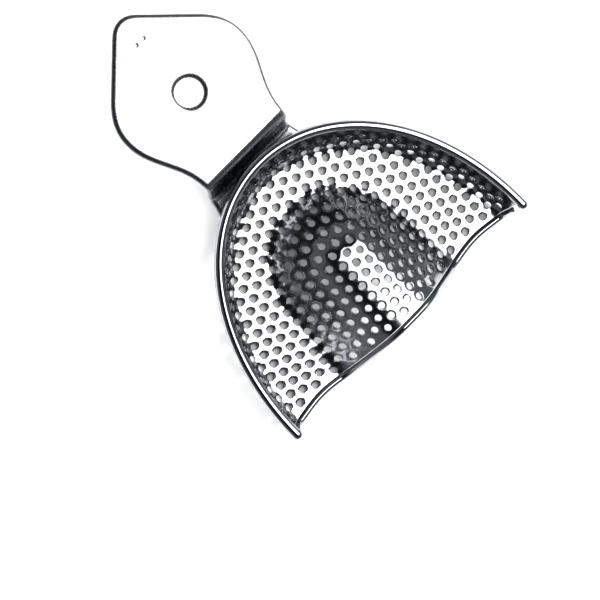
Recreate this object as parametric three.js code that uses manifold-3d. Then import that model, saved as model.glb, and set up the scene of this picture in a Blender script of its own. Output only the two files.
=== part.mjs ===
// Perforated stainless steel impression tray for an upper jaw: a pressed bowl with a palate vault, a bead
// wire along the top of its wall, a border wire along its rear edge, and a cranked handle plate soldered to
// its front.
// Units are millimetres. +Z is up, out of the trough, and -Y points along the handle.
import * as THREE from "three";
import { mergeVertices } from "three/addons/utils/BufferGeometryUtils.js";
import Module from "manifold-3d";

const wasm = await Module();
wasm.setup();

// Driving dimensions.
const REAR_Y = 44.07; // the bowl's rear edge in the part's frame; lengths forwards are measured from it
const GAP = 0.12; // clearance between touching pieces
const SHEET = 0.8; // thickness of the bowl's sheet
const FLOOR = { halfWidth: 30.8, depth: 41, power: 2 }; // outline where the trough floor meets the wall
const WALL = {
  fillet: 2.6, // radius of the sheet's middle between floor and wall
  sideLean: 16, // degrees from upright at the rear ends
  frontLean: 25, // degrees from upright at the front
  top: 9.4, // height of the trimmed top edge
};
const VAULT = {
  height: 11.2, // rise of the palate above the trough floor
  topHalfWidth: 1.6, // flat crown of the palate
  topDepth: 18.3, // from the rear edge to the front end of that crown
  halfWidth: 18.9, // foot of the palate at the rear edge
  narrowing: 0.1, // loss of half width for each millimetre forwards
  depth: 34.8, // from the rear edge to the palate's front foot
  topRound: 0.45, // share of the slope that rounds its shoulder
  footRound: 0.26, // share of the slope that rounds its foot
};
const HOLE = { radius: 0.82, pitch: 3, firstRow: 1.6 };
const PERFORATED_WALL = 6.4; // the holes stop this far up the wall, measured along the sheet
const DRAW_IN = 2.4; // how far the forming pulls the arms' holes inwards at the rear edge
const BOW = { depth: 1, inner: 14, outer: 34.5, fade: 18 }; // hollow of the rear edge across each arm
const REAR_STATIONS = [0, 1.6, 3.2, 4.2, 5, 6, 8, 11, 14.5, 16, 17.3, 18.5, 20.5, 22.5, 25, 27.5, 30.8];
const RIM_WIRE = { radius: 1.25, ball: 1.3, overhang: -0.6, sides: 12, steps: 52 };
const REAR_WIRE = { radius: 0.8, sides: 12 };
const HANDLE = {
  thickness: 1.5,
  top: 11.2, // height of the grip's upper face
  foot: 3.2, // height of the foot's upper face
  bend: 51, // where the grip starts to step down
  step: 3.4, // how far the step travels along the handle
  tip: 90.1,
  hole: 68.4,
  holeRadius: 3.2,
};
const SOLDER = { size: 1.2, halfAngle: 0.3 };

const RAD = Math.PI / 180;

// Form of the pressed sheet.
// t runs from 0 (rear end of the +x arm) through PI / 2 (front) to PI (rear end of the -x arm).
function floorEdge(t, outset = 0) {
  const c = Math.cos(t);
  const s = Math.max(0, Math.sin(t));
  const x = FLOOR.halfWidth * Math.sign(c) * Math.abs(c) ** (2 / FLOOR.power);
  const y = FLOOR.depth * s ** (2 / FLOOR.power);
  const nx = (Math.sign(c) * Math.abs(x / FLOOR.halfWidth) ** (FLOOR.power - 1)) / FLOOR.halfWidth;
  const ny = (y / FLOOR.depth) ** (FLOOR.power - 1) / FLOOR.depth;
  const n = Math.hypot(nx, ny);
  return { x: x + (outset * nx) / n, y: y + (outset * ny) / n, nx: nx / n, ny: ny / n };
}

// The wall leans out more at the front than at the sides.
const wallSlope = (t) => (90 - WALL.sideLean - (WALL.frontLean - WALL.sideLean) * Math.sin(t) ** 2) * RAD;
const filletLength = (t) => WALL.fillet * wallSlope(t);

// Section of the wall at t: a length s up the sheet gives the outward run, the rise and the slope.
function wallSection(t, s) {
  const slope = Math.min(s / WALL.fillet, wallSlope(t));
  const up = Math.max(0, s - filletLength(t));
  return {
    run: WALL.fillet * Math.sin(slope) + up * Math.cos(slope),
    rise: WALL.fillet * (1 - Math.cos(slope)) + up * Math.sin(slope),
    slope,
  };
}

// The run at which the middle of the wall reaches a height.
function wallRun(t, z) {
  const foot = wallSection(t, filletLength(t));
  return foot.run + (z - SHEET / 2 - foot.rise) / Math.tan(wallSlope(t));
}

// Share of the palate's height left at q, from 0 on its flat top to 1 at its foot.
function easedSlope(q) {
  const { topRound, footRound } = VAULT;
  const whole = 1 - (topRound + footRound) / 2;
  if (q <= 0) return 1;
  if (q >= 1) return 0;
  if (q < topRound) return 1 - (q * q) / (2 * topRound) / whole;
  if (q < 1 - footRound) return 1 - (q - topRound / 2) / whole;
  return ((1 - q) * (1 - q)) / (2 * footRound) / whole;
}

function vaultHeight(x, y) {
  const forwards = Math.max(0, y);
  const half = VAULT.halfWidth - VAULT.narrowing * forwards;
  const qx = Math.max(0, Math.abs(x) - VAULT.topHalfWidth) / (half - VAULT.topHalfWidth);
  const qy = Math.max(0, forwards - VAULT.topDepth) / (VAULT.depth - VAULT.topDepth);
  return VAULT.height * easedSlope(Math.hypot(qx, qy));
}

const asVector = (x, y, z) => new THREE.Vector3(x, REAR_Y - y, z);

// A point of the floor or palate, offset by h from the sheet's middle.
function floorPoint(x, y, h) {
  const d = 0.05;
  const zx = (vaultHeight(x + d, y) - vaultHeight(x - d, y)) / (2 * d);
  const zy = (vaultHeight(x, y + d) - vaultHeight(x, y - d)) / (2 * d);
  const n = Math.hypot(zx, zy, 1);
  return asVector(x - (h * zx) / n, y - (h * zy) / n, SHEET / 2 + vaultHeight(x, y) + h / n);
}

function wallPoint(t, s, h) {
  const { run, rise, slope } = wallSection(t, s);
  const p = floorEdge(t, run - h * Math.sin(slope));
  return asVector(p.x, p.y, SHEET / 2 + rise + h * Math.cos(slope));
}

// The nearest point of the floor's outline, found by halving steps along it.
function nearestEdge(x, y) {
  const best = { t: 0, d: Infinity };
  const test = (t) => {
    const p = floorEdge(t);
    const d = Math.hypot(p.x - x, p.y - y);
    if (d < best.d) Object.assign(best, { t, d });
  };
  for (let i = 0; i <= 60; i++) test((Math.PI * i) / 60);
  for (let step = Math.PI / 60; step > 1e-5; step /= 2) {
    const { t } = best;
    test(Math.max(0, t - step));
    test(Math.min(Math.PI, t + step));
  }
  return best;
}

// The forming pulls the arms' columns of holes inwards towards the rear edge.
function drawnIn(x, y) {
  const side = THREE.MathUtils.smoothstep(Math.abs(x), 0, VAULT.halfWidth);
  return x - Math.sign(x) * DRAW_IN * side * Math.max(0, 1 - y / VAULT.depth);
}

// How far the rear edge is hollowed forwards at a distance from the axis.
function hollow(x) {
  const share = (Math.abs(x) - BOW.inner) / (BOW.outer - BOW.inner);
  return share > 0 && share < 1 ? BOW.depth * Math.sin(Math.PI * share) ** 2 : 0;
}

// The forming also pulls the arms' rear rows forwards, and the pull fades away from the edge.
function drawnForwards(x, y) {
  return y + hollow(x) * THREE.MathUtils.clamp(1 - y / BOW.fade, 0, 1);
}

// Where a point of the flat blank is pressed to: the floor's plan, or an outline angle and a length up the
// wall.
function pressedPlace(x, y) {
  const px = drawnIn(x, Math.max(0, y));
  const forwards = Math.max(0, drawnForwards(px, y));
  const inside = (Math.abs(px) / FLOOR.halfWidth) ** FLOOR.power + (forwards / FLOOR.depth) ** FLOOR.power;
  return inside < 1 ? { x: px, y: forwards, d: 0 } : nearestEdge(px, forwards);
}

function pressed(x, y, h) {
  const place = pressedPlace(x, y);
  const point = place.t === undefined ? floorPoint(place.x, place.y, h) : wallPoint(place.t, place.d, h);
  point.y -= Math.min(0, drawnForwards(drawnIn(x, 0), y));
  return point;
}

// Solids.
function solidFrom(geometry) {
  const bare = new THREE.BufferGeometry().setAttribute("position", geometry.getAttribute("position"));
  if (geometry.index) bare.setIndex(geometry.index);
  const merged = mergeVertices(bare, 1e-4);
  return new wasm.Manifold(
    new wasm.Mesh({
      numProp: 3,
      vertProperties: new Float32Array(merged.attributes.position.array),
      triVerts: new Uint32Array(merged.index.array),
    }),
  );
}

function geometryFrom(solid) {
  const { vertProperties, triVerts } = solid.getMesh();
  return new THREE.BufferGeometry()
    .setAttribute("position", new THREE.BufferAttribute(vertProperties, 3))
    .setIndex(new THREE.BufferAttribute(triVerts, 1));
}

function indexedGeometry(points, index) {
  const positions = points.flatMap((p) => [p.x, p.y, p.z]);
  return new THREE.BufferGeometry()
    .setAttribute("position", new THREE.Float32BufferAttribute(positions, 3))
    .setIndex(index);
}

// A closed skin through rings of equal length, capped at both ends.
function loftedGeometry(rings) {
  const width = rings[0].length;
  const last = (rings.length - 1) * width;
  const index = [];
  for (let i = 0; i + 1 < rings.length; i++) {
    for (let j = 0; j < width; j++) {
      const a = i * width + j;
      const b = i * width + ((j + 1) % width);
      index.push(a, a + width, b, b, a + width, b + width);
    }
  }
  for (let j = 1; j + 1 < width; j++) index.push(0, j, j + 1, last, last + j + 1, last + j);
  return indexedGeometry(rings.flat(), index);
}

// A ring of points round a centre; the first side's middle faces the direction "across".
function ringOf(centre, across, up, radius, sides) {
  const ring = [];
  for (let k = 0; k < sides; k++) {
    const a = (2 * Math.PI * (k + 0.5)) / sides;
    const point = centre.clone().addScaledVector(across, radius * Math.cos(a));
    ring.push(point.addScaledVector(up, radius * Math.sin(a)));
  }
  return ring;
}

// Bowl: a staggered lattice of six-sided holes, pressed to the form and trimmed.
const column = HOLE.pitch * Math.cos(30 * RAD);
const latticeX = (q) => q * column;
const latticeY = (q, r) => HOLE.firstRow + HOLE.pitch * (r + q / 2);

function isHole(q, r) {
  const y = latticeY(q, r);
  return y > HOLE.firstRow - 0.01 && pressedPlace(latticeX(q), y).d < PERFORATED_WALL;
}

// The corner of hole (q, r) that faces its neighbour, or the lattice point itself where the sheet is blank.
function cornerTowards([q, r], [nq, nr]) {
  const from = [latticeX(q), latticeY(q, r)];
  if (!isHole(q, r)) return from;
  const to = [latticeX(nq), latticeY(nq, nr)];
  const share = HOLE.radius / HOLE.pitch;
  return [from[0] + share * (to[0] - from[0]), from[1] + share * (to[1] - from[1])];
}

function latticeGeometry() {
  const points = [];
  const index = [];
  const ids = new Map();
  const idOf = ([x, y]) => {
    const key = `${x.toFixed(3)} ${y.toFixed(3)}`;
    if (!ids.has(key)) {
      ids.set(key, points.length);
      points.push(pressed(x, y, SHEET / 2), pressed(x, y, -SHEET / 2));
    }
    return ids.get(key);
  };
  const addWeb = (a, b, c) => {
    const corners = [
      [a, c],
      [a, b],
      [b, a],
      [b, c],
      [c, b],
      [c, a],
    ].map(([from, to]) => idOf(cornerTowards(from, to)));
    const ring = corners.filter((id, k) => id !== corners[(k + 1) % 6]);
    for (let k = 1; k + 1 < ring.length; k++) {
      index.push(ring[0], ring[k + 1], ring[k], ring[0] + 1, ring[k] + 1, ring[k + 1] + 1);
    }
  };
  const blank = 1.5 * WALL.top; // more of the sheet than the wall needs, trimmed afterwards
  const reach = FLOOR.halfWidth + blank;
  const columns = Math.ceil(reach / column);
  const wanted = (q, r) => {
    const y = latticeY(q, r);
    return y > -2 * HOLE.pitch && pressedPlace(latticeX(q), y).d < blank;
  };
  for (let q = -columns; q <= columns; q++) {
    for (let r = -columns; r <= 2 * columns; r++) {
      const a = [q, r];
      const b = [q + 1, r];
      const c = [q, r + 1];
      const d = [q + 1, r + 1];
      if (wanted(...b) && wanted(...c)) {
        if (wanted(...a)) addWeb(a, b, c);
        if (wanted(...d)) addWeb(b, d, c);
      }
    }
  }
  return closedShell(points, index);
}

// Closes a two-sided skin: each free edge of the upper side gets a pair of triangles down to the lower side.
function closedShell(points, index) {
  const edges = new Set();
  for (let i = 0; i < index.length; i += 3) {
    const [a, b, c] = index.slice(i, i + 3);
    if (a % 2 === 0) [`${a} ${b}`, `${b} ${c}`, `${c} ${a}`].forEach((edge) => edges.add(edge));
  }
  const sides = [];
  for (const edge of edges) {
    const [a, b] = edge.split(" ").map(Number);
    if (!edges.has(`${b} ${a}`)) sides.push(b, a, a + 1, b, a + 1, b + 1);
  }
  return indexedGeometry(points, [...index, ...sides]);
}

function box(min, max) {
  const size = max.clone().sub(min);
  const shape = new THREE.BoxGeometry(size.x, size.y, size.z);
  return solidFrom(shape.translate(...min.clone().add(max).multiplyScalar(0.5).toArray()));
}

// A plan outline, in lengths forwards of the rear edge, as an upright solid between two heights.
function standingPrism(shape, low, high) {
  const settings = { depth: high - low, bevelEnabled: false, curveSegments: 10 };
  const prism = new THREE.ExtrudeGeometry(shape, settings);
  prism.rotateX(Math.PI);
  return solidFrom(prism.translate(0, REAR_Y, high));
}

function outlineShape(outset, steps) {
  const shape = new THREE.Shape();
  for (let i = 0; i <= steps; i++) {
    const p = floorEdge((Math.PI * i) / steps, outset);
    if (i === 0) shape.moveTo(p.x, -20);
    shape.lineTo(p.x, p.y);
    if (i === steps) shape.lineTo(p.x, -20);
  }
  return shape;
}

// Everything behind the hollowed rear edge.
function rearShape() {
  const across = [...REAR_STATIONS, 33, BOW.outer, 60];
  const edge = [...across.toReversed().map((x) => -x), ...across.slice(1)];
  const shape = new THREE.Shape();
  shape.moveTo(-60, -40);
  for (const x of edge) shape.lineTo(x, hollow(x));
  shape.lineTo(60, -40);
  return shape;
}

function bowlSolid() {
  const behind = standingPrism(rearShape(), -10, 40);
  const above = box(new THREE.Vector3(-60, REAR_Y - 80, WALL.top), new THREE.Vector3(60, REAR_Y + 40, 40));
  const overWall = above.subtract(standingPrism(outlineShape(0, 40), -10, 50));
  return solidFrom(latticeGeometry()).subtract(behind).subtract(overWall);
}

// Rim wire: a bead seated on the top edge of the wall, ending in a ball behind each arm.
function rimWireGeometry() {
  const { radius, ball, overhang, sides, steps } = RIM_WIRE;
  const flat = radius * Math.cos(Math.PI / sides);
  const z = WALL.top + GAP + flat;
  const up = new THREE.Vector3(0, 0, 1);
  const balls = [-75, -50, -25, 0, 25, 50].map((degrees) => ({
    back: overhang + ball - ball * Math.sin(degrees * RAD),
    size: ball * Math.cos(degrees * RAD),
  }));
  const place = (t, back, size) => {
    const p = floorEdge(t, wallRun(t, WALL.top));
    const across = new THREE.Vector3(p.nx, -p.ny, 0);
    return ringOf(asVector(p.x, p.y - back, z), across, up, size, sides);
  };
  const rings = balls.map(({ back, size }) => place(0, back, size));
  for (let i = 0; i <= steps; i++) rings.push(place((Math.PI * i) / steps, 0, radius));
  rings.push(...balls.toReversed().map(({ back, size }) => place(Math.PI, back, size)));
  return loftedGeometry(rings.toReversed());
}

// Rear border wire: follows the section of the rear edge, over the palate and across both arms.
function rearWireGeometry() {
  const { radius, sides } = REAR_WIRE;
  const flat = radius * Math.cos(Math.PI / sides);
  const lift = flat - SHEET / 2; // brings the wire's underside level with the sheet's
  const half = [];
  for (const s of [7.6, 5.4]) half.push(wallPoint(0, s, lift));
  for (const share of [1, 0.67, 0.33]) half.push(wallPoint(0, filletLength(0) * share, lift));
  for (const x of REAR_STATIONS.toReversed()) half.push(floorPoint(x, 0, lift));
  const mirrored = half
    .slice(0, -1)
    .toReversed()
    .map((p) => new THREE.Vector3(-p.x, p.y, p.z));
  const path = [...half, ...mirrored];
  const back = new THREE.Vector3(0, 1, 0);
  const rings = path.map((p, i) => {
    const before = path[Math.max(0, i - 1)];
    const after = path[Math.min(path.length - 1, i + 1)];
    const along = new THREE.Vector3().subVectors(after, before).normalize();
    const across = new THREE.Vector3().crossVectors(along, back);
    return ringOf(p.clone().addScaledVector(back, flat + GAP - hollow(p.x)), back, across, radius, sides);
  });
  return loftedGeometry(rings.toReversed());
}

// Handle plate.
// The plate's plan outline, as distance from the axis against length forwards of the bowl's rear edge.
function handleShape() {
  const { tip } = HANDLE;
  const right = new THREE.Path();
  right.moveTo(0, tip);
  right.quadraticCurveTo(1.9, tip, 3.6, tip - 1.6);
  right.lineTo(13, tip - 10.6);
  right.bezierCurveTo(16, tip - 13.4, 17.8, tip - 16.4, 17.8, tip - 20.2);
  right.bezierCurveTo(17.8, tip - 27.4, 12.5, tip - 31, 12.1, tip - 38.4);
  right.lineTo(12, 48.1);
  right.quadraticCurveTo(12.1, 46.3, 13.2, 43.1);
  right.lineTo(13.2, 37.7);
  const points = right.getPoints(7);
  const mirrored = points
    .slice(1)
    .toReversed()
    .map((p) => new THREE.Vector2(-p.x, p.y));
  return new THREE.Shape([...points, ...mirrored]);
}

// The plate's bent profile seen from the side, as a closed outline of length forwards and height.
function handleProfile() {
  const { thickness, top, foot, bend, step, tip } = HANDLE;
  const high = top - thickness / 2;
  const low = foot - thickness / 2;
  const line = new THREE.Path();
  line.moveTo(tip + 2, high);
  line.lineTo(bend + 1.2, high);
  line.quadraticCurveTo(bend - 0.2, high, bend - 0.9, high - 1.2);
  line.lineTo(bend - step + 0.9, low + 1.2);
  line.quadraticCurveTo(bend - step + 0.1, low, bend - step - 1.2, low);
  line.lineTo(37.7, low);
  const middle = line.getPoints(4);
  const side = (offset) =>
    middle.map((p, i) => {
      const a = middle[Math.max(0, i - 1)];
      const b = middle[Math.min(middle.length - 1, i + 1)];
      const along = new THREE.Vector2().subVectors(b, a).normalize();
      return new THREE.Vector2(p.x + offset * along.y, p.y - offset * along.x);
    });
  return new THREE.Shape([...side(thickness / 2), ...side(-thickness / 2).toReversed()]);
}

function bentStrip() {
  const width = 50;
  const strip = new THREE.ExtrudeGeometry(handleProfile(), { depth: width, bevelEnabled: false });
  // (forwards, height, depth) becomes the part's (-y, z, -x)
  const turn = new THREE.Matrix4().set(0, 0, -1, width / 2, -1, 0, 0, REAR_Y, 0, 1, 0, 0, 0, 0, 0, 1);
  return solidFrom(strip.applyMatrix4(turn));
}

// Everything inside the bowl's outer skin, grown by the clearance between pieces.
function bowlEnvelope() {
  const rings = [];
  for (const share of [0, 0.25, 0.5, 0.75, 1, 5]) {
    const ring = [];
    for (let k = 0; k <= 60; k++) {
      const t = (Math.PI * k) / 60;
      ring.push(wallPoint(t, filletLength(t) * share, -SHEET / 2 - GAP));
    }
    rings.push(ring);
  }
  return solidFrom(loftedGeometry(rings));
}

function handleSolid() {
  const { hole, holeRadius, top } = HANDLE;
  const drill = new THREE.CylinderGeometry(holeRadius, holeRadius, 20, 24).rotateX(Math.PI / 2);
  drill.translate(0, REAR_Y - hole, top);
  return bentStrip()
    .intersect(standingPrism(handleShape(), -5, 20))
    .subtract(solidFrom(drill))
    .subtract(bowlEnvelope());
}

// Solder: a fillet in the corner between the handle's foot and the bowl's wall.
function solderGeometry() {
  const { size, halfAngle } = SOLDER;
  const z = HANDLE.foot + GAP;
  const rings = [];
  for (let i = 0; i <= 16; i++) {
    const t = Math.PI / 2 + halfAngle * (1 - i / 8);
    const taper = Math.sqrt(1 - 0.85 * (1 - i / 8) ** 2);
    const slope = wallSlope(t);
    const at = (outset, up) => {
      const skin = wallRun(t, z + up * taper) + (SHEET / 2 + GAP) / Math.sin(slope);
      const p = floorEdge(t, skin + outset * taper);
      return asVector(p.x, p.y, z + up * taper);
    };
    rings.push([at(0, 0), at(size, 0), at(0.4 * size, 0.4 * size), at(0, size)]);
  }
  return loftedGeometry(rings);
}

// Assembly.
const polished = { color: 0xd9dadb, roughness: 0.16, metalness: 1 };
const satin = { color: 0xd4d5d6, roughness: 0.26, metalness: 1 };
const silver = { color: 0xc9c8c4, roughness: 0.34, metalness: 1 };

function piece(name, geometry, finish) {
  const mesh = new THREE.Mesh(geometry, new THREE.MeshStandardMaterial(finish));
  mesh.name = name;
  return mesh;
}

const group = new THREE.Group();
group.add(
  piece("perforated_bowl", geometryFrom(bowlSolid()), polished),
  piece("rim_wire", rimWireGeometry(), polished),
  piece("rear_edge_wire", rearWireGeometry(), polished),
  piece("handle_plate", geometryFrom(handleSolid()), satin),
  piece("handle_solder_fillet", solderGeometry(), silver),
);

export default group;
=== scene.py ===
# Perforated stainless steel impression tray for an upper jaw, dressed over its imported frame.
# Lengths in the pieces' dictionaries are millimetres. +Z is up out of the trough, and -Y is along the handle.
import math

import bmesh
import bpy
import numpy as np
from mathutils import Matrix, Vector


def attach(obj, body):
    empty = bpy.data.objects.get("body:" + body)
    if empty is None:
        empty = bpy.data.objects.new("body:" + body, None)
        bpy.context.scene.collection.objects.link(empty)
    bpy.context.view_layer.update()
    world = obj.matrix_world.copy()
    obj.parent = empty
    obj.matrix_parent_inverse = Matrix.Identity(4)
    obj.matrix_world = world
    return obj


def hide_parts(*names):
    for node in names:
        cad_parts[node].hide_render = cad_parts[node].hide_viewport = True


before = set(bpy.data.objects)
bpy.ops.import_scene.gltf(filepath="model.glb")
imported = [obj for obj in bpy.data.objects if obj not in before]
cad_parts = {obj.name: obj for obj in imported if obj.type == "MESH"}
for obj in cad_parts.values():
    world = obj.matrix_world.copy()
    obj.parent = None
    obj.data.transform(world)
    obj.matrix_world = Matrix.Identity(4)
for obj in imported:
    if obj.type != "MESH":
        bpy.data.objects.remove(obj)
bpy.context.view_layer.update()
print("frame loaded:", ", ".join(sorted(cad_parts)))

mm = 0.001
rearY = 44.07  # the bowl's rear edge; lengths forwards are measured from it
gap = 0.12  # clearance between touching pieces



def toLinear(hexColour):
    # sRGB hex to the linear colour that shaders use
    channels = [int(hexColour[i : i + 2], 16) / 255 for i in (1, 3, 5)]
    linear = [c / 12.92 if c <= 0.04045 else ((c + 0.055) / 1.055) ** 2.4 for c in channels]
    return (*linear, 1.0)


def addNode(tree, kind, settings=None, links=None):
    # settings set attributes, or inputs by number or name; links feed inputs from other sockets
    node = tree.nodes.new(kind)
    for key, value in (settings or {}).items():
        if isinstance(key, int) or key in node.inputs:
            node.inputs[key].default_value = value
        else:
            setattr(node, key, value)
    for key, socket in (links or {}).items():
        tree.links.new(socket, node.inputs[key])
    return node


def meshObject(name, vertices, faces=(), edges=()):
    mesh = bpy.data.meshes.new(name)
    mesh.from_pydata([tuple(v) for v in vertices], [tuple(e) for e in edges], [tuple(f) for f in faces])
    obj = bpy.data.objects.new(name, mesh)
    bpy.context.scene.collection.objects.link(obj)
    return obj


def pointAttribute(obj, name, kind, values):
    attribute = obj.data.attributes.new(name, kind, "POINT")
    attribute.data.foreach_set("value", values)


def newNodeGroup(name, sockets):
    # sockets are (name, socket type) pairs after the geometry input
    tree = bpy.data.node_groups.new(name, "GeometryNodeTree")
    tree.interface.new_socket("Geometry", in_out="INPUT", socket_type="NodeSocketGeometry")
    for label, kind in sockets:
        tree.interface.new_socket(label, in_out="INPUT", socket_type=kind)
    tree.interface.new_socket("Geometry", in_out="OUTPUT", socket_type="NodeSocketGeometry")
    return tree, addNode(tree, "NodeGroupInput").outputs


def bakeNodes(obj, tree, values):
    # runs the tree on obj with these input values and keeps the result as a plain mesh
    modifier = obj.modifiers.new(tree.name, "NODES")
    modifier.node_group = tree
    identifiers = {item.name: item.identifier for item in tree.interface.items_tree if item.in_out == "INPUT"}
    for label, value in values.items():
        modifier[identifiers[label]] = value
    plainMesh(obj)


def plainMesh(obj):
    # applies every modifier and keeps the result
    bpy.context.view_layer.update()
    graph = bpy.context.evaluated_depsgraph_get()
    mesh = bpy.data.meshes.new_from_object(obj.evaluated_get(graph), depsgraph=graph)
    obj.modifiers.clear()
    obj.data = mesh
    mesh.name = obj.name


def shadeByArea(obj, sharpAngle=50):
    # smooth shading where the broad faces keep their own direction and only the small bevels turn
    obj.data.shade_smooth()
    obj.data.set_sharp_from_angle(angle=math.radians(sharpAngle))
    weigh = obj.modifiers.new("weighNormals", "WEIGHTED_NORMAL")
    weigh.keep_sharp = True
    weigh.weight = 80  # 50 would weigh small and large faces alike
    plainMesh(obj)


def finishPiece(obj, material, node):
    obj.data.materials.clear()
    obj.data.materials.append(material)
    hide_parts(node)
    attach(obj, "root")
    print(f"{obj.name}: {len(obj.data.polygons)} faces")


# stainless steel, pressed and buffed: reflects the room in hard pale and dark bands, with a slight haze
polishedFinish = {
    "colour": "#C2C3C6",
    "dull": "#B7B8BB",
    "roughness": 0.12,
    "streak": 0.03,  # how much the fine lines raise the roughness
    "lineDepth": 0.0015,
}

# drawn stainless wire: smoother than the sheet, so that its highlights are thin and sharp
wireFinish = {
    "colour": "#C2C3C6",
    "dull": "#B8B9BC",
    "roughness": 0.10,
    "streak": 0.02,
    "lineDepth": 0.001,
}

# the handle's sheet, finished with a fine belt: lines along it spread each reflection into an even sheen
brushedFinish = {
    "colour": "#C6C7C9",
    "dull": "#BBBCBF",
    "roughness": 0.2,
    "streak": 0.07,
    "lineDepth": 0.0025,
    "dents": ((-1.1, -39.6, 11.2), (1.1, -39.6, 11.2)),  # two round dents as a plain size mark
    "dentRadius": 0.7,
    "dentDepth": 0.1,
}

# silver solder: slightly warmer and duller than the steel, with a soft wavy gloss
solderFinish = {
    "colour": "#CFCDC8",
    "dull": "#B9B5AE",
    "roughness": 0.3,
    "streak": 0.05,
    "lineDepth": 0.01,
}

# wear that every metal shares; each pattern is given in features to the millimetre
wear = {
    "hazePerMm": 0.08,  # handling haze in soft patches 12 mm across
    "hazeRange": (0.35, 0.7),  # values of the noise between which the haze thickens
    "hazeRoughness": 0.07,
    "dullRange": (0.3, 0.75),  # and between which the colour turns to the duller one
    "linesPerMm": 3.3,  # lines 0.3 mm apart, coarser than the real grit so that they show
    "lineStretch": (1.0, 0.025, 0.3),  # they run along Y, each about 12 mm long
    "hairsPerMm": 1.3,  # a few single scratches up to 25 mm long
    "hairStretch": (1.0, 0.03, 1.0),
    "hairTurn": 0.5,  # radians away from the lines
    "hairRange": (0.66, 0.78),  # only the peaks of the noise make a scratch
    "hairRoughness": 0.08,
}


def newMaterial(name):
    material = bpy.data.materials.new(name)
    material.use_nodes = True
    tree = material.node_tree
    tree.nodes.clear()
    output = addNode(tree, "ShaderNodeOutputMaterial")
    shader = addNode(tree, "ShaderNodeBsdfPrincipled", {"Metallic": 1.0})
    tree.links.new(shader.outputs[0], output.inputs["Surface"])
    coordinates = addNode(tree, "ShaderNodeTexCoord").outputs["Object"]
    return material, tree, shader, coordinates


def steelMaterial(name, finish):
    material, tree, shader, coordinates = newMaterial(name)
    haze = addNode(
        tree,
        "ShaderNodeTexNoise",
        {"Scale": wear["hazePerMm"] / mm, "Detail": 4.0, "Roughness": 0.6},
        {0: coordinates},
    )
    stretch = addNode(tree, "ShaderNodeMapping", {"Scale": wear["lineStretch"]}, {0: coordinates})
    lines = addNode(
        tree,
        "ShaderNodeTexNoise",
        {"Scale": wear["linesPerMm"] / mm, "Detail": 3.0, "Roughness": 0.7},
        {0: stretch.outputs[0]},
    )
    turn = addNode(
        tree,
        "ShaderNodeMapping",
        {"Rotation": (0.0, 0.0, wear["hairTurn"]), "Scale": wear["hairStretch"]},
        {0: coordinates},
    )
    hairs = addNode(
        tree,
        "ShaderNodeTexNoise",
        {"Scale": wear["hairsPerMm"] / mm, "Detail": 1.0},
        {0: turn.outputs[0]},
    )
    start, full = wear["hairRange"]
    rareHairs = addNode(
        tree, "ShaderNodeMapRange", {1: start, 2: full, 3: 0.0, 4: 1.0}, {0: hairs.outputs[0]}
    )
    # roughness: the base value, raised by haze, lines and scratches
    base = finish["roughness"]
    start, full = wear["hazeRange"]
    hazed = addNode(
        tree,
        "ShaderNodeMapRange",
        {1: start, 2: full, 3: base, 4: base + wear["hazeRoughness"]},
        {0: haze.outputs[0]},
    )
    lined = addNode(
        tree,
        "ShaderNodeMath",
        {"operation": "MULTIPLY_ADD", 1: finish["streak"]},
        {0: lines.outputs[0], 2: hazed.outputs[0]},
    )
    scratched = addNode(
        tree,
        "ShaderNodeMath",
        {"operation": "MULTIPLY_ADD", 1: wear["hairRoughness"]},
        {0: rareHairs.outputs[0], 2: lined.outputs[0]},
    )
    tree.links.new(scratched.outputs[0], shader.inputs["Roughness"])
    start, full = wear["dullRange"]
    tintShare = addNode(
        tree, "ShaderNodeMapRange", {1: start, 2: full, 3: 0.0, 4: 1.0}, {0: haze.outputs[0]}
    )
    tint = addNode(
        tree,
        "ShaderNodeMix",
        {"data_type": "RGBA", 6: toLinear(finish["colour"]), 7: toLinear(finish["dull"])},
        {0: tintShare.outputs[0]},
    )
    tree.links.new(tint.outputs[2], shader.inputs["Base Color"])
    # relief: the lines, and the dents where the finish has any
    depth = finish["lineDepth"] * mm
    height = lines.outputs[0]
    for middle in finish.get("dents", ()):
        away = addNode(
            tree,
            "ShaderNodeVectorMath",
            {"operation": "DISTANCE", 1: tuple(c * mm for c in middle)},
            {0: coordinates},
        )
        radius, sunk = finish["dentRadius"] * mm, -finish["dentDepth"] * mm / depth
        dent = addNode(
            tree,
            "ShaderNodeMapRange",
            {"interpolation_type": "SMOOTHSTEP", 1: 0.0, 2: radius, 3: sunk, 4: 0.0},
            {0: away.outputs["Value"]},
        )
        joined = addNode(tree, "ShaderNodeMath", {"operation": "ADD"}, {0: height, 1: dent.outputs[0]})
        height = joined.outputs[0]
    relief = addNode(tree, "ShaderNodeBump", {"Strength": 1.0, "Distance": depth}, {"Height": height})
    tree.links.new(relief.outputs[0], shader.inputs["Normal"])
    return material


polishedSteel = steelMaterial("polishedStainlessSteel", polishedFinish)
wireSteel = steelMaterial("drawnStainlessWire", wireFinish)
brushedSteel = steelMaterial("brushedStainlessSheet", brushedFinish)
silverSolder = steelMaterial("silverSolder", solderFinish)
print("materials made")


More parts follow.
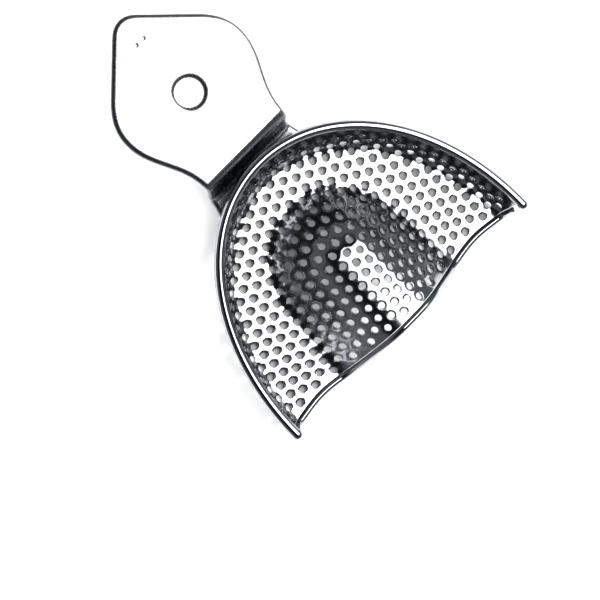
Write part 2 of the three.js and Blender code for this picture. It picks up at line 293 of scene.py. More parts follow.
# the bowl is a punched blank from Geometry Nodes, pressed to its form by the functions below
bowl = {
    "sheet": 0.8,
    "floorHalfWidth": 30.8,  # outline where the trough floor meets the wall
    "floorDepth": 41.0,
    "floorPower": 2.0,
    "fillet": 2.6,  # radius between floor and wall
    "sideLean": 16.0,  # degrees from upright at the rear ends
    "frontLean": 25.0,
    "wallTop": 9.4,
    "vaultHeight": 11.2,
    "vaultTopHalfWidth": 1.6,  # flat crown
    "vaultTopDepth": 18.3,
    "vaultHalfWidth": 18.9,  # foot of the vault at the rear edge
    "vaultNarrowing": 0.1,  # how much narrower it gets for each millimetre forwards
    "vaultDepth": 34.8,
    "vaultTopRound": 0.45,  # shares of its side taken by the rounding at the crown and at the foot
    "vaultFootRound": 0.26,
    "holeRadius": 0.82,
    "holePitch": 3.0,
    "firstRow": 1.6,
    "perforatedWall": 6.4,  # the holes stop this far up the wall, along the sheet
    "spareRear": 4.8,  # plain sheet past the rear edge and up the wall, trimmed off after pressing
    "spareWall": 14.1,
    "drawIn": 2.4,
    "bowDepth": 1.0,  # hollow of the rear edge across each arm
    "bowInner": 14.0,
    "bowOuter": 34.5,
    "bowFade": 18.0,
    "holeSides": 20,
    "edgeRound": 0.1,  # rounding of each hole's edge
    "borderPoints": 18,  # round each six-sided tile
    "tubeRings": 6,  # in each hole's wall
    "weld": 0.004,
}


def floorEdge(t, outset=0.0):
    # t runs from 0 at one arm's rear end through a quarter turn at the front to a half turn
    cosT = np.cos(t)
    sinT = np.maximum(0.0, np.sin(t))
    power = bowl["floorPower"]
    halfWidth, depth = bowl["floorHalfWidth"], bowl["floorDepth"]
    x = halfWidth * np.sign(cosT) * np.abs(cosT) ** (2 / power)
    y = depth * sinT ** (2 / power)
    nx = np.sign(cosT) * np.abs(x / halfWidth) ** (power - 1) / halfWidth
    ny = (y / depth) ** (power - 1) / depth
    length = np.hypot(nx, ny)
    nx, ny = nx / length, ny / length
    return x + outset * nx, y + outset * ny


def wallSlope(t):
    lean = bowl["sideLean"] + (bowl["frontLean"] - bowl["sideLean"]) * np.sin(t) ** 2
    return np.radians(90 - lean)


def wallSection(t, s):
    # outward run, rise and slope at a length s up the wall from the floor
    slope = np.minimum(s / bowl["fillet"], wallSlope(t))
    up = np.maximum(0.0, s - bowl["fillet"] * wallSlope(t))
    run = bowl["fillet"] * np.sin(slope) + up * np.cos(slope)
    rise = bowl["fillet"] * (1 - np.cos(slope)) + up * np.sin(slope)
    return run, rise, slope


def wallRun(t, z):
    # the outward run at which the middle of the wall reaches a height
    run, rise, slope = wallSection(t, bowl["fillet"] * wallSlope(t))
    return run + (z - bowl["sheet"] / 2 - rise) / np.tan(slope)


def vaultShare(q):
    # share of the vault's height, from 1 on the crown down a straight side to 0 past the foot
    top, foot = bowl["vaultTopRound"], bowl["vaultFootRound"]
    whole = 1 - (top + foot) / 2
    return np.select(
        [q <= 0, q < top, q < 1 - foot, q < 1],
        [
            1.0,
            1 - q * q / (2 * top) / whole,
            1 - (q - top / 2) / whole,
            (1 - q) ** 2 / (2 * foot) / whole,
        ],
        0.0,
    )


def vaultHeight(x, y):
    forwards = np.maximum(0.0, y)
    half = bowl["vaultHalfWidth"] - bowl["vaultNarrowing"] * forwards
    top = bowl["vaultTopHalfWidth"]
    acrossShare = np.maximum(0.0, np.abs(x) - top) / (half - top)
    topDepth = bowl["vaultTopDepth"]
    alongShare = np.maximum(0.0, forwards - topDepth) / (bowl["vaultDepth"] - topDepth)
    return bowl["vaultHeight"] * vaultShare(np.hypot(acrossShare, alongShare))


def floorPoint(x, y, h):
    # a point of the floor or the vault, h above the middle of the sheet and square to it
    step = 0.05
    zx = (vaultHeight(x + step, y) - vaultHeight(x - step, y)) / (2 * step)
    zy = (vaultHeight(x, y + step) - vaultHeight(x, y - step)) / (2 * step)
    n = np.sqrt(zx**2 + zy**2 + 1)
    z = bowl["sheet"] / 2 + vaultHeight(x, y) + h / n
    return np.stack([x - h * zx / n, rearY - (y - h * zy / n), z], axis=-1)


def wallPoint(t, s, h):
    # the same for the wall, at a length s up it
    run, rise, slope = wallSection(t, s)
    x, y = floorEdge(t, run - h * np.sin(slope))
    return np.stack([x, rearY - y, bowl["sheet"] / 2 + rise + h * np.cos(slope)], axis=-1)


def nearestEdge(x, y):
    # the angle of the nearest point of the floor's outline, and how far away it is
    steps, fineStep = 60, 1e-5
    spots = np.linspace(0, math.pi, steps + 1)
    edgeX, edgeY = floorEdge(spots)
    away = np.hypot(x[:, None] - edgeX, y[:, None] - edgeY)
    t = spots[away.argmin(axis=1)]
    best = away.min(axis=1)
    step = math.pi / steps
    while step > fineStep:
        for move in (-step, step):
            trial = np.clip(t + move, 0, math.pi)
            trialX, trialY = floorEdge(trial)
            d = np.hypot(x - trialX, y - trialY)
            closer = d < best
            t = np.where(closer, trial, t)
            best = np.where(closer, d, best)
        step /= 2
    return t, best


def drawnIn(x, y):
    # the forming pulls the arms' columns of holes inwards towards the rear edge
    share = np.clip(np.abs(x) / bowl["vaultHalfWidth"], 0, 1)
    side = share * share * (3 - 2 * share)
    return x - np.sign(x) * bowl["drawIn"] * side * np.maximum(0, 1 - y / bowl["vaultDepth"])


def hollow(x):
    # how far the rear edge is hollowed forwards at a distance from the axis
    share = np.clip((np.abs(x) - bowl["bowInner"]) / (bowl["bowOuter"] - bowl["bowInner"]), 0, 1)
    return bowl["bowDepth"] * np.sin(np.pi * share) ** 2


def drawnForwards(x, y):
    # the rear rows follow the hollow, and it fades out ahead of them
    return y + hollow(x) * np.clip(1 - y / bowl["bowFade"], 0, 1)


def blankPlace(x, y):
    # drawn-in plan, and for points past the floor's outline the angle and the length up the wall
    px = drawnIn(x, np.maximum(0.0, y))
    forwards = np.maximum(0.0, drawnForwards(px, y))
    power = bowl["floorPower"]
    inside = (np.abs(px) / bowl["floorHalfWidth"]) ** power + (forwards / bowl["floorDepth"]) ** power < 1
    t, d = nearestEdge(px, forwards)
    return px, forwards, inside, t, np.where(inside, 0.0, d)


def pressBlank(points):
    # flat points in millimetres to their pressed places, and which of them are on the wall
    x, y, h = points[:, 0], points[:, 1], points[:, 2]
    px, forwards, inside, t, d = blankPlace(x, y)
    pressed = np.where(inside[:, None], floorPoint(px, forwards, h), wallPoint(t, d, h))
    pressed[:, 1] -= np.minimum(0.0, drawnForwards(drawnIn(x, 0.0), y))
    return pressed, ~inside


def latticeObject():
    # one point for each tile of sheet, in columns along Y with every second one half a pitch on
    pitch = bowl["holePitch"]
    column = pitch * math.cos(math.radians(30))
    blank = bowl["spareWall"]
    slack = 0.01
    columns = math.ceil((bowl["floorHalfWidth"] + blank) / column)
    spots = []
    for q in range(-columns, columns + 1):
        for r in range(-columns, 2 * columns):
            y = bowl["firstRow"] + pitch * (r + q / 2)
            if -bowl["spareRear"] < y < bowl["floorDepth"] + blank:
                spots.append((q * column, y))
    spots = np.array(spots)
    d = blankPlace(spots[:, 0], spots[:, 1])[-1]
    spots, d = spots[d < blank], d[d < blank]
    punched = (spots[:, 1] > bowl["firstRow"] - slack) & (d < bowl["perforatedWall"])
    lattice = meshObject("perforatedBowl", [(x, y, 0.0) for x, y in spots])
    pointAttribute(lattice, "punched", "BOOLEAN", punched)
    return lattice


def punchingTree():
    # one six-sided tile of sheet with a rounded hole, and one plain tile, set on the lattice and welded
    tree, given = newNodeGroup(
        "punchedSheet",
        [
            ("Pitch", "NodeSocketFloat"),
            ("Hole Radius", "NodeSocketFloat"),
            ("Sheet", "NodeSocketFloat"),
            ("Edge Round", "NodeSocketFloat"),
            ("Hole Sides", "NodeSocketInt"),
            ("Material", "NodeSocketMaterial"),
        ],
    )

    halfSheet, lower = (
        addNode(tree, "ShaderNodeMath", {"operation": "MULTIPLY", 1: share}, {0: given["Sheet"]}).outputs[0]
        for share in (0.5, -0.5)
    )
    tileRadius = addNode(
        tree, "ShaderNodeMath", {"operation": "MULTIPLY", 1: 1 / math.sqrt(3)}, {0: given["Pitch"]}
    ).outputs[0]
    hexagon = addNode(
        tree, "GeometryNodeCurvePrimitiveCircle", {"Resolution": 6}, {"Radius": tileRadius}
    ).outputs[0]
    border = addNode(
        tree, "GeometryNodeResampleCurve", {"Count": bowl["borderPoints"]}, {"Curve": hexagon}
    ).outputs[0]
    mouthRadius = addNode(
        tree, "ShaderNodeMath", {"operation": "ADD"}, {0: given["Hole Radius"], 1: given["Edge Round"]}
    ).outputs[0]
    mouth = addNode(
        tree,
        "GeometryNodeCurvePrimitiveCircle",
        links={"Resolution": given["Hole Sides"], "Radius": mouthRadius},
    ).outputs[0]
    bothLoops = addNode(tree, "GeometryNodeJoinGeometry")
    for loop in (border, mouth):
        tree.links.new(loop, bothLoops.inputs[0])
    holedFace = addNode(tree, "GeometryNodeFillCurve", links={"Curve": bothLoops.outputs[0]}).outputs[0]
    plainFace = addNode(tree, "GeometryNodeFillCurve", links={"Curve": border}).outputs[0]

    # the hole's wall is a short tube whose radius opens at both mouths
    rings = bowl["tubeRings"]
    line = addNode(tree, "GeometryNodeCurvePrimitiveLine").outputs[0]
    tubePath = addNode(tree, "GeometryNodeResampleCurve", {"Count": rings}, {"Curve": line}).outputs[0]
    ringNumber = addNode(tree, "GeometryNodeInputIndex").outputs[0]
    fromMiddle = addNode(
        tree, "ShaderNodeMath", {"operation": "SUBTRACT", 1: (rings - 1) / 2}, {0: ringNumber}
    ).outputs[0]
    side = addNode(tree, "ShaderNodeMath", {"operation": "SIGN"}, {0: fromMiddle}).outputs[0]
    ringsOff = addNode(tree, "ShaderNodeMath", {"operation": "ABSOLUTE"}, {0: fromMiddle}).outputs[0]
    nearEnd = addNode(
        tree, "ShaderNodeMath", {"operation": "GREATER_THAN", 1: 1.0}, {0: ringsOff}
    ).outputs[0]
    atEnd = addNode(
        tree, "ShaderNodeMath", {"operation": "GREATER_THAN", 1: 2.0}, {0: ringsOff}
    ).outputs[0]
    # from the middle outwards the rings rise by most of the rounding and then open by most of it
    most, least = 0.7, 0.3
    shares = []
    for nearShare, endShare in ((most, least), (least, most)):
        near = addNode(tree, "ShaderNodeMath", {"operation": "MULTIPLY", 1: nearShare}, {0: nearEnd})
        last = addNode(tree, "ShaderNodeMath", {"operation": "MULTIPLY", 1: endShare}, {0: atEnd})
        both = addNode(
            tree, "ShaderNodeMath", {"operation": "ADD"}, {0: near.outputs[0], 1: last.outputs[0]}
        )
        shares.append(both.outputs[0])
    risen, openShare = shares
    unrisen = addNode(tree, "ShaderNodeMath", {"operation": "SUBTRACT", 0: 1.0}, {1: risen}).outputs[0]
    below = addNode(
        tree, "ShaderNodeMath", {"operation": "MULTIPLY"}, {0: given["Edge Round"], 1: unrisen}
    ).outputs[0]
    opened = addNode(
        tree, "ShaderNodeMath", {"operation": "MULTIPLY"}, {0: given["Edge Round"], 1: openShare}
    ).outputs[0]
    ringLevel = addNode(
        tree, "ShaderNodeMath", {"operation": "SUBTRACT"}, {0: halfSheet, 1: below}
    ).outputs[0]
    height = addNode(tree, "ShaderNodeMath", {"operation": "MULTIPLY"}, {0: side, 1: ringLevel}).outputs[0]
    place = addNode(tree, "ShaderNodeCombineXYZ", links={2: height}).outputs[0]
    tubePath = addNode(
        tree, "GeometryNodeSetPosition", links={"Geometry": tubePath, "Position": place}
    ).outputs[0]
    unitRing = addNode(
        tree, "GeometryNodeCurvePrimitiveCircle", {"Radius": 1.0}, {"Resolution": given["Hole Sides"]}
    ).outputs[0]
    ringRadius = addNode(
        tree, "ShaderNodeMath", {"operation": "ADD"}, {0: given["Hole Radius"], 1: opened}
    ).outputs[0]
    tube = addNode(
        tree,
        "GeometryNodeCurveToMesh",
        links={"Curve": tubePath, "Profile Curve": unitRing, "Scale": ringRadius},
    ).outputs[0]

    # each tile has its face twice, level with the top and with the underside of the sheet
    tiles = []
    for face, extras in ((holedFace, [tube]), (plainFace, [])):
        join = addNode(tree, "GeometryNodeJoinGeometry")
        for level in (halfSheet, lower):
            offset = addNode(tree, "ShaderNodeCombineXYZ", links={2: level}).outputs[0]
            moved = addNode(
                tree, "GeometryNodeTransform", links={"Geometry": face, "Translation": offset}
            )
            tree.links.new(moved.outputs[0], join.inputs[0])
        for extra in extras:
            tree.links.new(extra, join.inputs[0])
        tiles.append(join.outputs[0])

    punched = addNode(tree, "GeometryNodeInputNamedAttribute", {"data_type": "BOOLEAN", "Name": "punched"})
    punched = punched.outputs[0]
    plain = addNode(tree, "FunctionNodeBooleanMath", {"operation": "NOT"}, {0: punched}).outputs[0]
    sheet = addNode(tree, "GeometryNodeJoinGeometry")
    for chosen, instance in zip((punched, plain), tiles):
        spread = addNode(
            tree,
            "GeometryNodeInstanceOnPoints",
            links={"Points": given["Geometry"], "Selection": chosen, "Instance": instance},
        )
        tree.links.new(spread.outputs[0], sheet.inputs[0])
    real = addNode(tree, "GeometryNodeRealizeInstances", links={"Geometry": sheet.outputs[0]})
    welded = addNode(
        tree, "GeometryNodeMergeByDistance", {"Distance": bowl["weld"]}, {"Geometry": real.outputs[0]}
    )
    coated = addNode(
        tree, "GeometryNodeSetMaterial", links={"Geometry": welded.outputs[0], "Material": given["Material"]}
    )
    output = addNode(tree, "NodeGroupOutput")
    tree.links.new(coated.outputs[0], output.inputs[0])
    return tree


def trimSheet(obj, onWall):
    # cuts the pressed sheet off at the rear edge and at the wall's top, and closes the cut edge
    work = bmesh.new()
    work.from_mesh(obj.data)
    wallLayer = work.verts.layers.int.new("onWall")
    work.verts.ensure_lookup_table()
    for vertex, flag in zip(work.verts, onWall):
        vertex[wallLayer] = int(flag)

    onPlane = 1e-5  # metres

    def cut(vertices, place, normal):
        # each once, and in the same order on every run
        faces = dict.fromkeys(f for v in vertices for f in v.link_faces)
        edges = dict.fromkeys(e for f in faces for e in f.edges)
        corners = dict.fromkeys(v for f in faces for v in f.verts)
        bmesh.ops.bisect_plane(
            work,
            geom=[*faces, *edges, *corners],
            plane_co=place,
            plane_no=normal,
            clear_outer=True,
            dist=onPlane,
        )

    # the rear cut is straight in a copy shifted back by the edge's hollow
    for vertex in work.verts:
        vertex.co.y += float(hollow(vertex.co.x / mm)) * mm
    cut(list(work.verts), (0, rearY * mm, 0), (0, 1, 0))
    for vertex in work.verts:
        vertex.co.y -= float(hollow(vertex.co.x / mm)) * mm
    cut([v for v in work.verts if v[wallLayer]], (0, 0, bowl["wallTop"] * mm), (0, 0, 1))
    bmesh.ops.delete(work, geom=[v for v in work.verts if not v.link_faces], context="VERTS")
    rim = [e for e in work.edges if e.is_boundary]
    bmesh.ops.bridge_loops(work, edges=rim)
    bmesh.ops.triangulate(work, faces=[f for f in work.faces if len(f.verts) > 4])
    bmesh.ops.recalc_face_normals(work, faces=work.faces[:])
    openEdges = sum(1 for e in work.edges if not e.is_manifold)
    work.to_mesh(obj.data)
    work.free()
    print(f"bowl trimmed, {openEdges} open edges")


bowlPiece = latticeObject()
bakeNodes(
    bowlPiece,
    punchingTree(),
    {
        "Pitch": bowl["holePitch"],
        "Hole Radius": bowl["holeRadius"],
        "Sheet": bowl["sheet"],
        "Edge Round": bowl["edgeRound"],
        "Hole Sides": bowl["holeSides"],
        "Material": polishedSteel,
    },
)
blankPoints = np.zeros(len(bowlPiece.data.vertices) * 3)
bowlPiece.data.vertices.foreach_get("co", blankPoints)
pressedPoints, onWall = pressBlank(blankPoints.reshape(-1, 3))
bowlPiece.data.vertices.foreach_set("co", (pressedPoints * mm).ravel())
trimSheet(bowlPiece, onWall)
shadeByArea(bowlPiece)
finishPiece(bowlPiece, polishedSteel, "perforated_bowl")


def wireTree():
    # a round rod swept along the edge, with its radius given point by point
    tree, given = newNodeGroup("roundWire", [("Sides", "NodeSocketInt"), ("Material", "NodeSocketMaterial")])
    path = addNode(tree, "GeometryNodeMeshToCurve", links={"Mesh": given["Geometry"]}).outputs[0]
    section = addNode(
        tree, "GeometryNodeCurvePrimitiveCircle", {"Radius": 1.0}, {"Resolution": given["Sides"]}
    ).outputs[0]
    size = addNode(
        tree, "GeometryNodeInputNamedAttribute", {"data_type": "FLOAT", "Name": "wireRadius"}
    ).outputs[0]
    rod = addNode(
        tree,
        "GeometryNodeCurveToMesh",
        {"Fill Caps": True},
        {"Curve": path, "Profile Curve": section, "Scale": size},
    ).outputs[0]
    real = addNode(tree, "GeometryNodeRealizeInstances", links={"Geometry": rod}).outputs[0]
    coated = addNode(tree, "GeometryNodeSetMaterial", links={"Geometry": real, "Material": given["Material"]})
    output = addNode(tree, "NodeGroupOutput")
    tree.links.new(coated.outputs[0], output.inputs[0])
    return tree


def wireObject(name, points, radii, sides):
    # points in millimetres, in order along the wire
    path = meshObject(
        name, [Vector(p) * mm for p in points], edges=[(i, i + 1) for i in range(len(points) - 1)]
    )
    pointAttribute(path, "wireRadius", "FLOAT", np.array(radii) * mm)
    bakeNodes(path, roundWire, {"Sides": sides, "Material": wireSteel})
    path.data.shade_smooth()
    return path


roundWire = wireTree()

rimWire = {
    "radius": 1.19,
    "seat": 1.2,  # from the wall's top edge to the wire's middle
    "ball": 1.24,  # radius of the rounded end behind each arm
    "overhang": -0.56,  # how far past the rear edge the ball's near side lies
    "steps": 220,
    "ballRings": 12,
    "poleGap": 0.06,  # radians left open at the ball's far end, closed by the cap
    "sides": 24,
}


def rimPath():
    z = bowl["wallTop"] + gap + rimWire["seat"]
    ball, wire = rimWire["ball"], rimWire["radius"]
    lastAngle = math.acos(wire / ball)
    poleGap, ballRings = rimWire["poleGap"], rimWire["ballRings"]
    back, sizes = [], []
    for i in range(ballRings + 1):
        angle = -math.pi / 2 + poleGap + (lastAngle + math.pi / 2 - poleGap) * i / ballRings
        back.append(rimWire["overhang"] + ball - ball * math.sin(angle))
        sizes.append(ball * math.cos(angle))
    t = np.linspace(0, math.pi, rimWire["steps"])
    x, y = floorEdge(t, wallRun(t, bowl["wallTop"]))
    around = [(px, rearY - py, z) for px, py in zip(x, y)]
    firstEnd = [(around[0][0], rearY + b, z) for b in back]
    lastEnd = [(around[-1][0], rearY + b, z) for b in back[::-1]]
    points = firstEnd + around[1:-1] + lastEnd
    return points, sizes + [wire] * (len(around) - 2) + sizes[::-1]


rimPoints, rimSizes = rimPath()
rimPiece = wireObject("rimWireBead", rimPoints, rimSizes, rimWire["sides"])
finishPiece(rimPiece, wireSteel, "rim_wire")

rearWire = {
    "radius": 0.74,
    "sides": 20,
    "wallReach": 7.6,  # how far it runs up each wall, along the sheet
    "wallPoints": 26,
    "halfPoints": 150,  # from a wall to the axis, before the line is evened
    "spacing": 0.5,
    "endDome": 0.96,  # how nearly the rounded ends close before their caps
}


def rearPath():
    lift = rearWire["radius"] - bowl["sheet"] / 2  # its underside is level with the sheet's
    wallLengths = np.linspace(rearWire["wallReach"], 0, rearWire["wallPoints"])
    t = np.zeros_like(wallLengths)
    climb = wallPoint(t, wallLengths, lift)
    x = np.linspace(bowl["floorHalfWidth"], 0, rearWire["halfPoints"])[1:]
    across = floorPoint(x, np.zeros_like(x), lift)
    half = np.vstack([climb, across])
    half[:, 1] = rearY + gap + rearWire["radius"] - hollow(half[:, 0])
    other = half[:-1][::-1] * np.array([-1, 1, 1])
    return np.vstack([half, other])


def evened(points, spacing):
    # the same line with points at an even spacing, so that tight corners don't fold
    lengths = np.concatenate([[0], np.cumsum(np.linalg.norm(np.diff(points, axis=0), axis=1))])
    stops = np.linspace(0, lengths[-1], int(lengths[-1] / spacing))
    return np.stack([np.interp(stops, lengths, points[:, axis]) for axis in range(3)], axis=1)


rearPoints = evened(rearPath(), rearWire["spacing"])
order = np.arange(len(rearPoints))
fromEnd = np.minimum(order, order[::-1]) * rearWire["spacing"]
domeShare = np.clip(1 - fromEnd / rearWire["radius"], 0, rearWire["endDome"])
rearPiece = wireObject(
    "rearBorderWire", rearPoints, rearWire["radius"] * np.sqrt(1 - domeShare**2), rearWire["sides"]
)
finishPiece(rearPiece, wireSteel, "rear_edge_wire")

# the handle is a flat stamping with rounded edges, which is then bent
# its curves are control points of half the plan outline: distance from the axis, and length past the tip
handle = {
    "thickness": 1.5,
    "top": 11.2,
    "foot": 3.2,  # height of the foot's upper face
    "footEnd": 37.7,
    "bend": 51.0,
    "step": 3.4,  # length taken up by the slanting part between the two bends
    "bendRound": 1.2,
    "bendSlant": 0.9,
    "upperCorner": 0.2,
    "lowerCorner": 0.1,
    "bendPoints": 24,
    "tip": 90.1,
    "lead": 2,  # the flat line starts this far ahead of the tip
    "tipCurve": ((0, 0), (1.9, 0), (3.6, -1.6)),
    "shoulderCurve": ((13, -10.6), (16, -13.4), (17.8, -16.4), (17.8, -20.2)),
    "waistCurve": ((17.8, -20.2), (17.8, -27.4), (12.5, -31), (12.1, -38.4)),
    "footCurve": ((12, 48.1), (12.1, 46.3), (13.2, 43.1)),  # lengths from the rear edge
    "footSamples": 120,
    "hole": 68.4,
    "holeRadius": 3.2,
    "holePoints": 72,
    "edgeRound": 1.35,  # width of the tumbled edge, which is rounded as a flat ellipse
    "edgeFlat": 0.22,  # half height of the upright band left in the edge before it is flattened
    "bendCuts": 34,
}


def quadratic(a, b, c, count):
    u = np.linspace(0, 1, count)[:, None]
    return (1 - u) ** 2 * np.array(a) + 2 * u * (1 - u) * np.array(b) + u**2 * np.array(c)


def cubic(a, b, c, d, count):
    u = np.linspace(0, 1, count)[:, None]
    return (
        (1 - u) ** 3 * np.array(a)
        + 3 * u * (1 - u) ** 2 * np.array(b)
        + 3 * u**2 * (1 - u) * np.array(c)
        + u**3 * np.array(d)
    )


def handleSide():
    # half of the plan outline, tip to foot: distance from the axis and length forwards
    tipCurve, shoulderCurve, waistCurve = (
        [(x, handle["tip"] + past) for x, past in handle[name]]
        for name in ("tipCurve", "shoulderCurve", "waistCurve")
    )
    return np.vstack(
        [
            quadratic(*tipCurve, count=14),
            cubic(*shoulderCurve, count=20),
            cubic(*waistCurve, count=28)[1:],
            quadratic(*handle["footCurve"], count=16),
        ]
    )


def bentLine():
    # the plate's middle in side view, from the tip to the foot: length forwards and height
    high = handle["top"] - handle["thickness"] / 2
    low = handle["foot"] - handle["thickness"] / 2
    upper, lower = handle["bend"], handle["bend"] - handle["step"]
    reach, slant, count = handle["bendRound"], handle["bendSlant"], handle["bendPoints"]
    upperCorner = (upper - handle["upperCorner"], high)
    lowerCorner = (lower + handle["lowerCorner"], low)
    line = np.vstack(
        [
            [(handle["tip"] + handle["lead"], high)],
            quadratic((upper + reach, high), upperCorner, (upper - slant, high - reach), count),
            quadratic((lower + slant, low + reach), lowerCorner, (lower - reach, low), count),
            [(handle["footEnd"], low)],
        ]
    )
    lengths = np.concatenate([[0], np.cumsum(np.linalg.norm(np.diff(line, axis=0), axis=1))])
    return line, lengths


def flatHandleOutline():
    line, lengths = bentLine()
    side = handleSide()
    # the foot ends where it meets the wall, at the height of its upper face
    clear, flare, lastAngle = 0.05, 0.2, 0.9
    t = np.linspace(math.pi / 2, lastAngle, handle["footSamples"])
    skin = wallRun(t, handle["foot"]) + (bowl["sheet"] / 2 + gap) / np.sin(wallSlope(t))
    footX, footY = floorEdge(t, skin)
    meets = np.interp(side[:, 0], footX, footY)
    side = side[side[:, 1] > meets + clear]
    corner = float(np.interp(side[-1, 1], footY[::-1], footX[::-1]))
    cornerX = max(side[-1, 0], min(corner, side[-1, 0] + flare))
    arc = np.stack([footX, footY], axis=1)[footX < cornerX][::-1][::4]
    half = np.vstack([side, arc, [(0.0, footY[0])]])
    flatY = handle["tip"] + handle["lead"] - np.interp(-half[:, 1], -line[:, 0], lengths)
    half = np.stack([half[:, 0], flatY], axis=1)
    return np.vstack([half, half[1:-1][::-1] * np.array([-1, 1])])


def flatHandle():
    curve = bpy.data.curves.new("handleBlank", "CURVE")
    curve.dimensions = "2D"
    curve.fill_mode = "BOTH"
    rounding = handle["edgeRound"]
    curve.extrude = handle["edgeFlat"]
    curve.bevel_depth = rounding
    curve.bevel_resolution = 6
    curve.offset = -rounding
    angles = np.linspace(0, 2 * math.pi, handle["holePoints"], endpoint=False)
    hole = np.stack([np.cos(angles), np.sin(angles)], axis=1) * handle["holeRadius"] + (0, handle["hole"])
    for loop in (flatHandleOutline(), hole):
        spline = curve.splines.new("POLY")
        spline.points.add(len(loop) - 1)
        weighted = np.column_stack([loop, np.zeros(len(loop)), np.ones(len(loop))])
        spline.points.foreach_set("co", weighted.ravel())
        spline.use_cyclic_u = True
    blank = bpy.data.objects.new("handleBlank", curve)
    bpy.context.scene.collection.objects.link(blank)
    graph = bpy.context.evaluated_depsgraph_get()
    mesh = bpy.data.meshes.new_from_object(blank.evaluated_get(graph), depsgraph=graph)
    bpy.data.objects.remove(blank)
    flatten = handle["thickness"] / 2 / (rounding + handle["edgeFlat"])
    mesh.transform(Matrix.Diagonal((1, 1, flatten, 1)))
    plate = bpy.data.objects.new("handlePlateBent", mesh)
    mesh.name = plate.name
    bpy.context.scene.collection.objects.link(plate)
    return plate


def bendHandle(plate):
    # cuts the flat plate across where it bends, then carries each point onto the bent line
    line, lengths = bentLine()
    start = handle["tip"] + handle["lead"]
    same = 1e-4
    work = bmesh.new()
    work.from_mesh(plate.data)
    bmesh.ops.remove_doubles(work, verts=work.verts[:], dist=same)
    firstCut, lastCut = lengths[1], lengths[-2]
    for stop in np.linspace(firstCut, lastCut, handle["bendCuts"]):
        bmesh.ops.bisect_plane(
            work,
            geom=[*work.verts, *work.edges, *work.faces],
            plane_co=(0, start - stop, 0),
            plane_no=(0, 1, 0),
            dist=same,
        )
    along = np.gradient(line, axis=0)
    along /= np.linalg.norm(along, axis=1)[:, None]
    for vertex in work.verts:
        x, flatY, h = vertex.co
        s = start - flatY
        forwards, height = (np.interp(s, lengths, line[:, axis]) for axis in (0, 1))
        dirY, dirZ = (np.interp(s, lengths, along[:, axis]) for axis in (0, 1))
        size = math.hypot(dirY, dirZ)
        forwards += h * dirZ / size
        height -= h * dirY / size
        vertex.co = (x * mm, (rearY - forwards) * mm, height * mm)
    bmesh.ops.recalc_face_normals(work, faces=work.faces[:])
    openEdges = sum(1 for e in work.edges if not e.is_manifold)
    work.to_mesh(plate.data)
    work.free()
    print(f"handle bent, {openEdges} open edges")


handlePiece = flatHandle()
bendHandle(handlePiece)
shadeByArea(handlePiece, 60)
finishPiece(handlePiece, brushedSteel, "handle_plate")

# the solder is a hollow-faced fillet between the handle's foot and the wall
solder = {
    "size": 1.15,
    "halfAngle": 0.3,  # radians round the bowl's front, to each side
    "endTaper": 0.86,
    "steps": 90,
    "faceSteps": 8,
    "ripple": 0.05,  # slight waves along it, as left by hand soldering: rate, share and phase
    "waves": ((19, 1, 0), (43, 0.6, 1)),
}


def solderFillet():
    z = handle["foot"] + gap
    rings = []
    for i in range(solder["steps"] + 1):
        share = 1 - 2 * i / solder["steps"]
        t = np.array([math.pi / 2 + solder["halfAngle"] * share])
        taper = math.sqrt(max(0.0, 1 - solder["endTaper"] * share**2))
        wave = sum(size * math.sin(rate * share + phase) for rate, size, phase in solder["waves"])
        taper = min(taper * (1 + solder["ripple"] * wave), 1.0)
        slope = wallSlope(t)
        section = [(0.0, 0.0)]
        for k in range(solder["faceSteps"] + 1):
            angle = math.pi / 2 * k / solder["faceSteps"]
            outset, up = 1 - math.sin(angle), 1 - math.cos(angle)
            section.append((solder["size"] * outset, solder["size"] * up))
        ring = []
        for outset, up in section:
            skin = wallRun(t, z + up * taper) + (bowl["sheet"] / 2 + gap) / np.sin(slope)
            x, y = floorEdge(t, skin + outset * taper)
            ring.append((x[0] * mm, (rearY - y[0]) * mm, (z + up * taper) * mm))
        rings.append(ring)
    width = len(rings[0])
    faces = []
    for i in range(len(rings) - 1):
        for k in range(width):
            a, b = i * width + k, i * width + (k + 1) % width
            faces.append((a, b, b + width, a + width))
    faces.append(tuple(range(width))[::-1])
    faces.append(tuple((len(rings) - 1) * width + k for k in range(width)))
    fillet = meshObject("handleSolderFillet", [p for ring in rings for p in ring], faces)
    work = bmesh.new()
    work.from_mesh(fillet.data)
    bmesh.ops.recalc_face_normals(work, faces=work.faces[:])
    work.to_mesh(fillet.data)
    work.free()
    return fillet


solderPiece = solderFillet()
shadeByArea(solderPiece, 40)
finishPiece(solderPiece, silverSolder, "handle_solder_fillet")

# lengths here are metres, except for the camera's target
setting = {
    "tableHex": "#F4F4F3",
    "tableRoughness": 0.85,
    "tableRadius": 0.7,
    "tableSides": 96,
    "softboxAcross": 0.76,
    "softboxAlong": 0.42,
    "softboxHeight": 0.6,
    "softboxShift": (-0.34, 0.05),
    "softboxPower": 1.95,
    "lowLampStrength": 1.8,
    "lowLampElevation": 22.0,
    "lowLampDirections": (45.0, 135.0, 225.0, 315.0),
    "lowLampSpread": 24.0,
    "roomHex": "#E8EAEE",
    "paleBelow": 0.5,  # heights on a unit sphere between which the room dims
    "dimAbove": 0.8,
    "paleStrength": 0.24,
    "dimStrength": 0.04,
    "cameraTarget": (13.7, 25.2, 6.0),  # millimetres
    "cameraTilt": (0.13, -0.14),  # how far it leans from straight above, for each metre of height
    "cameraDistance": 1.1,
    "cameraSensor": 36,
    "frameSide": 0.1304,  # what the frame takes in at the target
    "clip": (0.05, 20),
}


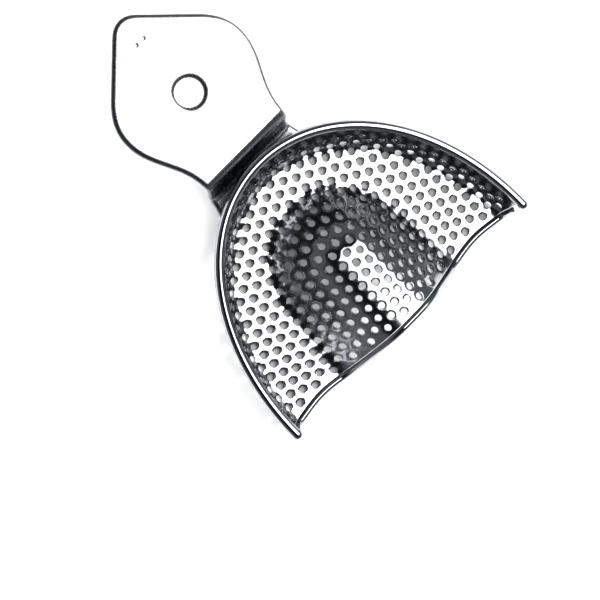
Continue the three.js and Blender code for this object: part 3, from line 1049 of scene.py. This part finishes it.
def makeTable():
    sides, radius = setting["tableSides"], setting["tableRadius"]
    angles = [2 * math.pi * k / sides for k in range(sides)]
    ring = [(radius * math.cos(a), radius * math.sin(a), 0) for a in angles]
    table = meshObject("paleTable", ring, [tuple(range(sides))])
    material, _, shader, _ = newMaterial("matteTableSheet")
    shader.inputs["Metallic"].default_value = 0.0
    shader.inputs["Roughness"].default_value = setting["tableRoughness"]
    shader.inputs["Base Color"].default_value = toLinear(setting["tableHex"])
    table.data.materials.append(material)


def makeLights():
    light = bpy.data.lights.new("softbox", "AREA")
    light.shape = "RECTANGLE"
    light.size = setting["softboxAcross"]
    light.size_y = setting["softboxAlong"]
    light.energy = setting["softboxPower"]
    lamp = bpy.data.objects.new("softbox", light)
    lamp.location = (*setting["softboxShift"], setting["softboxHeight"])
    lamp.visible_camera = False
    bpy.context.scene.collection.objects.link(lamp)
    for direction in setting["lowLampDirections"]:
        sun = bpy.data.lights.new("lowLamp", "SUN")
        sun.energy = setting["lowLampStrength"]
        sun.angle = math.radians(setting["lowLampSpread"])
        low = bpy.data.objects.new("lowLamp", sun)
        low.visible_glossy = False  # they lift the table and leave no glints on the steel
        tilt = math.radians(90 - setting["lowLampElevation"])
        low.rotation_euler = (tilt, 0, math.radians(direction))
        bpy.context.scene.collection.objects.link(low)
    world = bpy.data.worlds.new("studio")
    bpy.context.scene.world = world
    world.use_nodes = True
    background = world.node_tree.nodes["Background"]
    background.inputs["Color"].default_value = toLinear(setting["roomHex"])
    # the room is dim overhead and paler near the horizon
    ray = addNode(world.node_tree, "ShaderNodeTexCoord")
    split = addNode(world.node_tree, "ShaderNodeSeparateXYZ", links={0: ray.outputs["Generated"]})
    heights = {1: setting["paleBelow"], 2: setting["dimAbove"]}
    strengths = {3: setting["paleStrength"], 4: setting["dimStrength"]}
    fade = addNode(world.node_tree, "ShaderNodeMapRange", {**heights, **strengths}, {0: split.outputs[2]})
    world.node_tree.links.new(fade.outputs[0], background.inputs["Strength"])


def makeCamera():
    data = bpy.data.cameras.new("camera")
    data.sensor_width = setting["cameraSensor"]
    data.lens = setting["cameraSensor"] * setting["cameraDistance"] / setting["frameSide"]
    data.clip_start, data.clip_end = setting["clip"]
    camera = bpy.data.objects.new("camera", data)
    bpy.context.scene.collection.objects.link(camera)
    back = Vector((*setting["cameraTilt"], 1)).normalized()
    right = Vector((-1, 1, 0)).normalized()
    right = (right - back * right.dot(back)).normalized()
    up = back.cross(right)
    turn = camera.matrix_world.to_3x3()
    turn.col[0], turn.col[1], turn.col[2] = right, up, back
    camera.rotation_euler = turn.to_euler()
    camera.location = Vector(setting["cameraTarget"]) * mm + back * setting["cameraDistance"]
    bpy.context.scene.camera = camera


makeTable()
makeLights()
makeCamera()
bpy.context.scene.view_settings.view_transform = "Standard"
bpy.context.scene.view_settings.look = "Very High Contrast"
print("table, lights and camera set")

bpy.context.view_layer.update()
